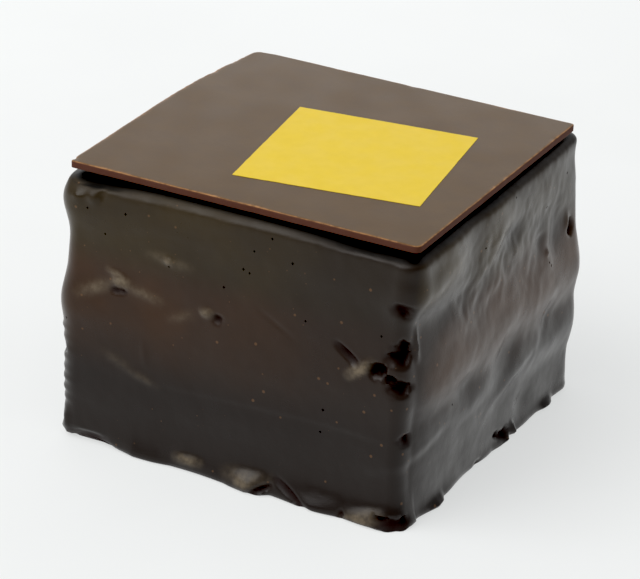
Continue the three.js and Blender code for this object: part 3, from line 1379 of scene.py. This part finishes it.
@dataclass
class YellowSquare:
    """The thin square of coloured cocoa butter on the plaque."""

    layout: Layout
    side: float = 29.8
    turn: float = math.radians(8)
    centre: Pair = (6.6, -2.35)
    film: float = 0.05
    cells: tuple[int, ...] = (10, 12)
    smooth_degrees: float = 40
    ragged: float = 0.05
    ragged_reach: float = 0.25
    fray: tuple[Ripple, ...] = (Ripple(1.0, 0.55, 8), Ripple(0.8, 2.2))
    edge_width: float = 1e-4
    corner_pulls: tuple[Pair, ...] = ((-0.25, -0.24), (0.0, 0.5), (0.2, -0.2), (0.1, -0.15))

    def build(self) -> bpy.types.Object:
        """Models the film and returns it."""
        layout = self.layout
        height = min(self.film * MM, layout.square_high.z - layout.top)
        centre = Vector((layout.middle.x, layout.middle.y, layout.top + height / 2))
        size = Vector((self.side * MM, self.side * MM, height))
        piece = new_block("cocoa_butter_square", centre, size)
        with Bench(piece) as bench:
            bench.cut(Axis.X, size.x, self.cells)
            bench.cut(Axis.Y, size.y, self.cells)
            bench.merge_faces(faces_down)
        self._shape(piece)
        smooth(piece, self.smooth_degrees)
        return piece

    def _shape(self, piece: bpy.types.Object) -> None:
        """Frays the edges slightly, pulls the corners and turns the square into place."""
        middle = np.array(self.layout.middle)
        places = read_places(piece, middle)
        half = self.side / 2
        flat = places[:, :2].copy()
        inside = half - np.abs(flat)
        fray = self.ragged * sum(ripple.at(places) for ripple in self.fray)
        fray = fray * bell(inside.min(axis=1), self.ragged_reach)
        pull = np.zeros_like(flat)
        corners = ((-1, -1), (1, -1), (1, 1), (-1, 1))
        for (way_x, way_y), corner_pull in zip(corners, self.corner_pulls):
            share = (1 + way_x * flat[:, 0] / half) * (1 + way_y * flat[:, 1] / half)
            pull += (share / len(corners))[:, None] * corner_pull
        flat += np.where(inside < self.edge_width, fray[:, None], 0)
        x, y = flat.T
        cosine, sine = math.cos(self.turn), math.sin(self.turn)
        places[:, 0] = x * cosine - y * sine + pull[:, 0] + self.centre[0]
        places[:, 1] = x * sine + y * cosine + pull[:, 1] + self.centre[1]
        move_points(piece, places, middle)

    def dress(self, piece: bpy.types.Object, butter: bpy.types.Material) -> None:
        """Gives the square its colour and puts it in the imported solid's place."""
        piece.data.materials.append(butter)
        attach(piece, BODY)
        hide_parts("yellow_square")


# ---- Finishes -------------------------------------------------------------------------------


Socket = bpy.types.NodeSocket
Value = float | Socket


class NodeBench:
    """Adds nodes to one tree and joins them."""

    MIX_COLOURS = (6, 7)  # where a mix node takes its two colours in
    MIX_RESULT = 2  # where it puts the mixed colour out

    def __init__(self, tree: bpy.types.NodeTree) -> None:
        """Keeps the tree of a material, a world or a group."""
        self.tree = tree
        self.count = 0

    def add(self, kind: str, inputs: dict | None = None, **settings: object) -> bpy.types.Node:
        """Adds one node.

        Args:
            kind: the node's type name.
            inputs: for each input, by name or number, a value or a socket to join it to.
            settings: the node's own settings.

        Returns:
            The new node.
        """
        node = self.tree.nodes.new(kind)
        self.count += 1
        node.location = (self.count * 180, -(self.count % 4) * 160)
        for name, value in settings.items():
            setattr(node, name, value)
        for name, value in (inputs or {}).items():
            if isinstance(value, Socket):
                self.tree.links.new(value, node.inputs[name])
            else:
                node.inputs[name].default_value = value
        return node

    def math(self, operation: str, first: Value, second: Value) -> Socket:
        """Works out one sum and returns its socket."""
        return self.add("ShaderNodeMath", {0: first, 1: second}, operation=operation).outputs[0]

    def ramp(
        self, value: Value, low: Value, high: Value, to_low: Value = 0.0, to_high: Value = 1.0
    ) -> Socket:
        """Turns one range of values smoothly into another and returns the socket."""
        node = self.add(
            "ShaderNodeMapRange",
            {"Value": value, "From Min": low, "From Max": high, "To Min": to_low, "To Max": to_high},
            interpolation_type="SMOOTHSTEP",
        )
        return node.outputs[0]

    def blend(self, share: Value, first: Colour | Socket, second: Colour | Socket) -> Socket:
        """Mixes two colours and returns the socket."""
        inputs = {0: share}
        for place, colour in zip(self.MIX_COLOURS, (first, second)):
            inputs[place] = colour if isinstance(colour, Socket) else (*colour, 1)
        return self.add("ShaderNodeMix", inputs, data_type="RGBA").outputs[self.MIX_RESULT]


def new_group(name: str, inputs: dict[str, float | None], output: str) -> NodeBench:
    """Starts a shader node group with named sockets.

    Args:
        name: the group's name.
        inputs: each input with its usual value, or None for a vector.
        output: the name of the number that it puts out.

    Returns:
        A bench on the group's tree.
    """
    tree = bpy.data.node_groups.new(name, "ShaderNodeTree")
    for label, value in inputs.items():
        kind = "NodeSocketVector" if value is None else "NodeSocketFloat"
        socket = tree.interface.new_socket(name=label, in_out="INPUT", socket_type=kind)
        if value is not None:
            socket.default_value = value
    tree.interface.new_socket(name=output, in_out="OUTPUT", socket_type="NodeSocketFloat")
    return NodeBench(tree)


def scattered_specks() -> bpy.types.NodeTree:
    """Small round specks at random places: how much of a speck each place shows."""
    inputs = {"Vector": None, "Spacing": 1.0, "Radius": 0.2, "Share": 0.3}
    bench = new_group("scattered_specks", inputs, "Mask")
    given = bench.add("NodeGroupInput").outputs
    scale = bench.math("DIVIDE", 1 / MM, given["Spacing"])
    cells = bench.add(
        "ShaderNodeTexVoronoi", {"Vector": given["Vector"], "Scale": scale, "Randomness": 1.0}
    )
    size = bench.math("DIVIDE", given["Radius"], given["Spacing"])
    kept_draw, size_draw, _ = bench.add(
        "ShaderNodeSeparateColor", {"Color": cells.outputs["Color"]}
    ).outputs
    smallest, largest, core = 0.45, 1.3, 0.55
    varied = bench.math("MULTIPLY", size, bench.ramp(size_draw, 0, 1, smallest, largest))
    inner = bench.math("MULTIPLY", varied, core)
    inside = bench.ramp(cells.outputs["Distance"], varied, inner)
    kept = bench.math("LESS_THAN", kept_draw, given["Share"])
    bench.add("NodeGroupOutput", {"Mask": bench.math("MULTIPLY", inside, kept)})
    return bench.tree


def soft_mottle() -> bpy.types.NodeTree:
    """Cloudy unevenness between two values."""
    inputs = {"Vector": None, "Size": 5.0, "Detail": 3.0, "Low": 0.0, "High": 1.0}
    bench = new_group("soft_mottle", inputs, "Value")
    given = bench.add("NodeGroupInput").outputs
    scale = bench.math("DIVIDE", 1 / MM, given["Size"])
    cloud = bench.add(
        "ShaderNodeTexNoise",
        {"Vector": given["Vector"], "Scale": scale, "Detail": given["Detail"], "Roughness": 0.55},
    )
    darkest, lightest = 0.3, 0.7
    value = bench.ramp(cloud.outputs["Fac"], darkest, lightest, given["Low"], given["High"])
    bench.add("NodeGroupOutput", {"Value": value})
    return bench.tree


def fine_grain() -> bpy.types.NodeTree:
    """Fine set texture of a fat-rich surface: a height for bump, from two sizes of grain."""
    inputs = {"Vector": None, "Coarse": 1.2, "Fine": 0.25, "Balance": 0.5}
    bench = new_group("fine_grain", inputs, "Height")
    given = bench.add("NodeGroupInput").outputs
    parts = []
    coarse_share = bench.math("SUBTRACT", 1.0, given["Balance"])
    for name, detail, share in (("Coarse", 2.0, coarse_share), ("Fine", 3.0, given["Balance"])):
        scale = bench.math("DIVIDE", 1 / MM, given[name])
        grain = bench.add(
            "ShaderNodeTexNoise", {"Vector": given["Vector"], "Scale": scale, "Detail": detail}
        )
        parts.append(bench.math("MULTIPLY", grain.outputs["Fac"], share))
    bench.add("NodeGroupOutput", {"Height": bench.math("ADD", *parts)})
    return bench.tree


@dataclass(frozen=True)
class Effects:
    """The node groups that the finishes share."""

    specks: bpy.types.NodeTree
    mottle: bpy.types.NodeTree
    grain: bpy.types.NodeTree

    @classmethod
    def make(cls) -> "Effects":
        """Builds each group once."""
        return cls(scattered_specks(), soft_mottle(), fine_grain())


@dataclass(frozen=True)
class Mottle:
    """Cloudy unevenness of one size between two values."""

    size: float
    low: float = 0.0
    high: float = 1.0
    detail: float = 3.0


@dataclass(frozen=True)
class Specks:
    """Round specks: how far apart they are, their radius, how many show and how strongly."""

    spacing: float
    radius: float
    share: float
    strength: float = 1.0


@dataclass(frozen=True)
class Grain:
    """The finest relief: two sizes of grain, how they are mixed, and how deep they look."""

    coarse: float
    fine: float
    balance: float
    strength: float
    depth: float


@dataclass(frozen=True)
class Draft:
    """A material in the making: its nodes, its shader and where on the piece a point lies."""

    material: bpy.types.Material
    effects: Effects
    bench: NodeBench
    shader: bpy.types.Node
    place: Socket

    @classmethod
    def start(cls, name: str, effects: Effects) -> "Draft":
        """Starts a material.

        Args:
            name: its name.
            effects: the shared node groups.

        Returns:
            The draft, with a plain shader.
        """
        material = bpy.data.materials.new(name)
        material.use_nodes = True
        bench = NodeBench(material.node_tree)
        shader = material.node_tree.nodes["Principled BSDF"]
        shader.inputs["IOR"].default_value = 1.4
        place = bench.add("ShaderNodeTexCoord").outputs["Object"]
        return cls(material, effects, bench, shader, place)

    def _effect(self, tree: bpy.types.NodeTree, **inputs: float) -> Socket:
        """Places a shared node group, with its inputs by name, and returns what it puts out."""
        values = {name.capitalize(): value for name, value in inputs.items()}
        values["Vector"] = self.place
        return self.bench.add("ShaderNodeGroup", values, node_tree=tree).outputs[0]

    def cloud(self, look: Mottle) -> Socket:
        """Places cloudy unevenness."""
        return self._effect(
            self.effects.mottle, size=look.size, detail=look.detail, low=look.low, high=look.high
        )

    def specks(self, look: Specks) -> Socket:
        """Places scattered specks."""
        mask = self._effect(
            self.effects.specks, spacing=look.spacing, radius=look.radius, share=look.share
        )
        return self.bench.math("MULTIPLY", mask, look.strength)

    def mark(self, name: str) -> Socket:
        """Reads the numbers painted on the piece under a name."""
        return self.bench.add("ShaderNodeAttribute", attribute_name=name).outputs["Fac"]

    def cover(self, colour: Colour | Socket, coats: Iterable[tuple[Value, Colour]]) -> Socket:
        """Lays colours over a first one.

        Args:
            colour: the first colour.
            coats: how much of each next colour shows, and the colour.

        Returns:
            The socket that holds the colour of them all.
        """
        for share, coat in coats:
            colour = self.bench.blend(share, colour, coat)
        return colour

    def finish(self, colour: Socket, rough: Socket, look: Grain) -> bpy.types.Material:
        """Joins the finish to the shader.

        Args:
            colour: holds the colour.
            rough: holds the roughness.
            look: the finest relief.

        Returns:
            The finished material.
        """
        height = self._effect(
            self.effects.grain, coarse=look.coarse, fine=look.fine, balance=look.balance
        )
        relief = self.bench.add(
            "ShaderNodeBump",
            {"Height": height, "Strength": look.strength, "Distance": look.depth * MM},
        )
        for name, socket in (
            ("Base Color", colour), ("Roughness", rough), ("Normal", relief.outputs["Normal"])
        ):
            self.bench.tree.links.new(socket, self.shader.inputs[name])
        return self.material


@dataclass(frozen=True)
class CoatingFinish:
    """Set dark chocolate coating: nearly black and satin, browner above, with tan specks, painted
    shade in its holes, under the plaque and along its underside, and painted highlights on its raised
    smears.
    """

    dark: Colour = (0.006, 0.002, 0.0004)
    warm: Colour = (0.048, 0.018, 0.003)
    drab: Colour = (0.038, 0.0225, 0.002)
    # painted shade: dark red-black for the holes, the pinholes and the underside
    hollow_shade: Colour = (0.011, 0.0042, 0.0036)
    # painted shade: near black for the gap under the plaque
    gap_shade: Colour = (0.001, 0.0008, 0.0006)
    # painted highlight: the pale colour of the raised smears
    scuff_highlight_colour: Colour = (0.135, 0.105, 0.07)
    speck: Colour = (0.17, 0.085, 0.035)
    brown_heights: Pair = (12 * MM, 26 * MM)
    drab_heights: Pair = (30 * MM, 36 * MM)
    haze_heights: Pair = (42.5 * MM, 44.5 * MM)
    front_span: Pair = (-16 * MM, 29 * MM)
    front_warmth: Pair = (0.55, 0.1)
    right_span: Pair = (29.6 * MM, 31.2 * MM)
    right_warmth: float = 0.82
    warm_cloud: Mottle = Mottle(11.0, 0.7, 1.1)
    scuff_highlight_cloud: Mottle = Mottle(1.1, 0.5, 1.15)
    gloss: Mottle = Mottle(6.0, 0.27, 0.37)
    pale_specks: Specks = Specks(1.6, 0.25, 0.36, 0.38)
    dust: Specks = Specks(0.9, 0.07, 0.25, 0.35)
    haze: float = 0.16
    duller: float = 0.5
    scuff_dullness: float = 0.4
    grain: Grain = Grain(1.4, 0.3, 0.3, 0.6, 0.06)

    def make(self, effects: Effects) -> bpy.types.Material:
        """Builds the material."""
        draft = Draft.start("enrobing_chocolate", effects)
        bench = draft.bench
        across, _, height = bench.add("ShaderNodeSeparateXYZ", {0: draft.place}).outputs
        upper = bench.ramp(height, *self.brown_heights)
        brown = bench.math("MULTIPLY", upper, draft.cloud(self.warm_cloud))
        front = bench.ramp(across, *self.front_span, *self.front_warmth)
        right = bench.ramp(across, *self.right_span, 0.0, self.right_warmth)
        warmth = bench.math("MULTIPLY", brown, bench.math("ADD", front, right))
        high = bench.ramp(height, *self.drab_heights)
        base = bench.blend(warmth, self.dark, bench.blend(high, self.warm, self.drab))
        scuff_highlight, recess_shade = draft.mark("scuff_highlight"), draft.mark("recess_shade")
        # painted highlight on the raised smears, broken up by a cloud
        scuff_highlight_share = bench.math("MULTIPLY", scuff_highlight, draft.cloud(self.scuff_highlight_cloud))
        specks = bench.math("MAXIMUM", draft.specks(self.pale_specks), draft.specks(self.dust))
        # over the base go painted highlights on the smears, the tan specks, and painted shade in the
        # gap under the plaque and in the holes
        colour = draft.cover(base, (
            (scuff_highlight_share, self.scuff_highlight_colour), (specks, self.speck),
            (draft.mark("gap_shade"), self.gap_shade), (recess_shade, self.hollow_shade),
        ))
        dull = bench.math("MAXIMUM", recess_shade, bench.math("MULTIPLY", scuff_highlight, self.scuff_dullness))
        dull = bench.math("MULTIPLY", dull, self.duller)
        rough = bench.math("ADD", draft.cloud(self.gloss), dull)
        rough = bench.math("ADD", rough, bench.ramp(height, *self.haze_heights, 0.0, self.haze))
        return draft.finish(colour, rough, self.grain)


@dataclass(frozen=True)
class PlaqueFinish:
    """Tempered plaque chocolate: brown, smooth on top, matt and warm where it was broken, with a pale
    line along its top edge that is partly scraped and partly a painted highlight.
    """

    face: Colour = (0.075, 0.0365, 0.006)
    face_light: Colour = (0.092, 0.048, 0.012)
    rim: Colour = (0.075, 0.028, 0.018)
    # pale tan for the scraped chips, and for the top edge, where it is partly a painted highlight
    scraped_and_highlight: Colour = (0.5, 0.25, 0.1)
    dust: Colour = (0.5, 0.46, 0.4)
    cloud: Mottle = Mottle(3.5, detail=6.0)
    arris_cloud: Mottle = Mottle(0.9, 0.25, 0.9)
    scrape_cloud: Mottle = Mottle(0.6, 0.1, 1.0)
    gloss: Mottle = Mottle(7.0, 0.29, 0.37)
    dust_specks: Specks = Specks(3.4, 0.16, 0.14, 0.5)
    duller: float = 0.5
    grain: Grain = Grain(0.9, 0.2, 0.6, 0.5, 0.03)

    def make(self, effects: Effects) -> bpy.types.Material:
        """Builds the material."""
        draft = Draft.start("tempered_plaque", effects)
        bench = draft.bench
        broken = draft.mark("broken")
        arris_wear_and_highlight = bench.math("MULTIPLY", draft.mark("arris_wear_and_highlight"), draft.cloud(self.arris_cloud))
        scrape = bench.math("MULTIPLY", draft.mark("scrape"), draft.cloud(self.scrape_cloud))
        colour = draft.cover(self.face, (
            (draft.cloud(self.cloud), self.face_light),
            (draft.specks(self.dust_specks), self.dust),
            (broken, self.rim), (arris_wear_and_highlight, self.scraped_and_highlight), (scrape, self.scraped_and_highlight),
        ))
        dull = bench.math("MULTIPLY", broken, self.duller)
        rough = bench.math("ADD", draft.cloud(self.gloss), dull)
        return draft.finish(colour, rough, self.grain)


@dataclass(frozen=True)
class CocoaButterFinish:
    """Coloured cocoa butter: an even yellow film with the faintest cloud and a few dots."""

    yellow: Colour = (0.765, 0.545, 0.022)
    deep: Colour = (0.745, 0.528, 0.02)
    dot: Colour = (0.09, 0.045, 0.02)
    cloud: Mottle = Mottle(1.8, detail=8.0)
    gloss: Mottle = Mottle(4.0, 0.4, 0.5)
    dots: Specks = Specks(5.5, 0.13, 0.12)
    grain: Grain = Grain(0.7, 0.2, 0.5, 0.35, 0.02)

    def make(self, effects: Effects) -> bpy.types.Material:
        """Builds the material."""
        draft = Draft.start("coloured_cocoa_butter", effects)
        coats = ((draft.cloud(self.cloud), self.deep), (draft.specks(self.dots), self.dot))
        colour = draft.cover(self.yellow, coats)
        return draft.finish(colour, draft.cloud(self.gloss), self.grain)


@dataclass(frozen=True)
class FloorFinish:
    """The plain pale floor."""

    pale: Colour = (0.315, 0.32, 0.318)
    paler: Colour = (0.33, 0.335, 0.333)
    light: Colour = (0.985, 1.0, 0.995)
    cloud: Mottle = Mottle(60.0)
    roughness: float = 0.7
    specular: float = 0.1
    glow: float = 0.565
    glow_in_gloss: float = 0.9

    def make(self, effects: Effects) -> bpy.types.Material:
        """Builds the material, lit from below as on a light table."""
        draft = Draft.start("pale_floor", effects)
        bench, inputs = draft.bench, draft.shader.inputs
        colour = bench.blend(draft.cloud(self.cloud), self.pale, self.paler)
        bench.tree.links.new(colour, inputs["Base Color"])
        inputs["Roughness"].default_value = self.roughness
        inputs["Specular IOR Level"].default_value = self.specular
        inputs["Emission Color"].default_value = (*self.light, 1)
        mirrored = bench.add("ShaderNodeLightPath").outputs["Is Glossy Ray"]
        strength = bench.ramp(mirrored, 0.0, 1.0, self.glow, self.glow_in_gloss)
        bench.tree.links.new(strength, inputs["Emission Strength"])
        return draft.material


# ---- The studio -----------------------------------------------------------------------------


def towards(azimuth: float, elevation: float) -> Vector:
    """The direction of a place seen from the cake, turned from the front towards the right."""
    level = math.cos(elevation)
    return Vector((
        math.sin(azimuth) * level, -math.cos(azimuth) * level, math.sin(elevation)
    ))


@dataclass(frozen=True)
class Lamp:
    """A soft lamp panel that faces the cake, with its lengths in metres.

    Its radiance is how bright its face is, where white paper in full light is about 1.
    """

    name: str
    azimuth: float
    elevation: float
    distance: float
    width: float
    height: float
    radiance: float

    def hang(self) -> None:
        """Adds the lamp to the studio."""
        data = bpy.data.lights.new(self.name, "AREA")
        data.shape = "RECTANGLE"
        data.size, data.size_y = self.width, self.height
        data.energy = self.radiance * math.pi * self.width * self.height
        lamp = bpy.data.objects.new(self.name, data)
        bpy.context.scene.collection.objects.link(lamp)
        lamp.location = towards(self.azimuth, self.elevation) * self.distance
        lamp.rotation_euler = lamp.location.to_track_quat("Z", "Y").to_euler()
        lamp.visible_camera = False


@dataclass
class Studio:
    """Floor, light and camera, with lengths in metres but for the lens and its sensor."""

    layout: Layout
    floor_side: float = 6.0
    azimuth: float = math.radians(26.51)
    elevation: float = math.radians(25.19)
    roll: float = math.radians(-2.5)
    distance: float = 626.8 * MM
    aim_left: float = 1.08 * MM
    aim_below: float = 23.16 * MM
    lens: float = 225.0
    sensor: float = 36.0
    clip_start: float = 0.05
    sky_colour: Colour = (0.98, 0.99, 1.0)
    sky: float = 0.6
    backdrop: float = 0.91
    black: float = 0.016
    lamps: tuple[Lamp, ...] = (
        Lamp("front_softbox", math.radians(-38), math.radians(48), 0.8, 0.62, 0.74, 3.2),
        Lamp("rear_panel", math.radians(206.5), math.radians(21.5), 0.27, 0.4, 0.115, 0.74),
    )

    def lay_floor(self, finish: bpy.types.Material) -> None:
        """Adds the floor under the cake."""
        deselect_all()
        bpy.ops.mesh.primitive_plane_add(size=self.floor_side, location=(0, 0, 0))
        floor = bpy.context.object
        floor.name = floor.data.name = "studio_floor"
        floor.data.materials.append(finish)

    def light(self) -> None:
        """Adds the soft lamps and an even pale surrounding."""
        world = bpy.data.worlds.new("pale_room")
        world.use_nodes = True
        bpy.context.scene.world = world
        bench = NodeBench(world.node_tree)
        shader = world.node_tree.nodes["Background"]
        seen = bench.add("ShaderNodeLightPath").outputs["Is Camera Ray"]
        strength = bench.ramp(seen, 0.0, 1.0, self.sky, self.backdrop)
        bench.tree.links.new(strength, shader.inputs["Strength"])
        shader.inputs["Color"].default_value = (*self.sky_colour, 1)
        for lamp in self.lamps:
            lamp.hang()

    def set_camera(self) -> None:
        """Stands the camera where the picture was taken from."""
        back = towards(self.azimuth, self.elevation)
        right = (-back).cross(Vector((0, 0, 1))).normalized()
        up = back.cross(right)
        cosine, sine = math.cos(self.roll), math.sin(self.roll)
        across = right * cosine - up * sine
        upwards = right * sine + up * cosine
        target = Vector((self.layout.middle.x, self.layout.middle.y, self.layout.top))
        place = target + back * self.distance - across * self.aim_left - upwards * self.aim_below
        data = bpy.data.cameras.new("picture_camera")
        data.sensor_width = self.sensor
        data.lens = self.lens
        data.clip_start = self.clip_start
        camera = bpy.data.objects.new("picture_camera", data)
        bpy.context.scene.collection.objects.link(camera)
        turned = Matrix((across, upwards, back)).transposed().to_4x4()
        camera.matrix_world = Matrix.Translation(place) @ turned
        bpy.context.scene.camera = camera

    def set_colours(self) -> None:
        """Shows colours plainly, without a film look."""
        settings = bpy.context.scene.view_settings
        settings.view_transform = "Standard"
        settings.look = "None"
        settings.use_curve_mapping = True
        settings.curve_mapping.black_level = (self.black,) * 3
        settings.curve_mapping.update()


def main() -> None:
    """Builds the studio and the cake's three pieces, and reports each."""
    logging.basicConfig(level=logging.INFO, format="%(name)s: %(message)s")
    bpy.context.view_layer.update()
    layout = Layout.from_frame()
    effects = Effects.make()
    studio = Studio(layout)
    studio.set_camera()
    studio.set_colours()
    studio.lay_floor(FloorFinish().make(effects))
    studio.light()
    for maker, finish in (
        (EnrobedBlock(layout), CoatingFinish()),
        (ChocolatePlaque(layout), PlaqueFinish()),
        (YellowSquare(layout), CocoaButterFinish()),
    ):
        piece = maker.build()
        maker.dress(piece, finish.make(effects))
        LOG.info("%s: %d faces", piece.name, len(piece.data.polygons))


if __name__ == "__main__":
    main()
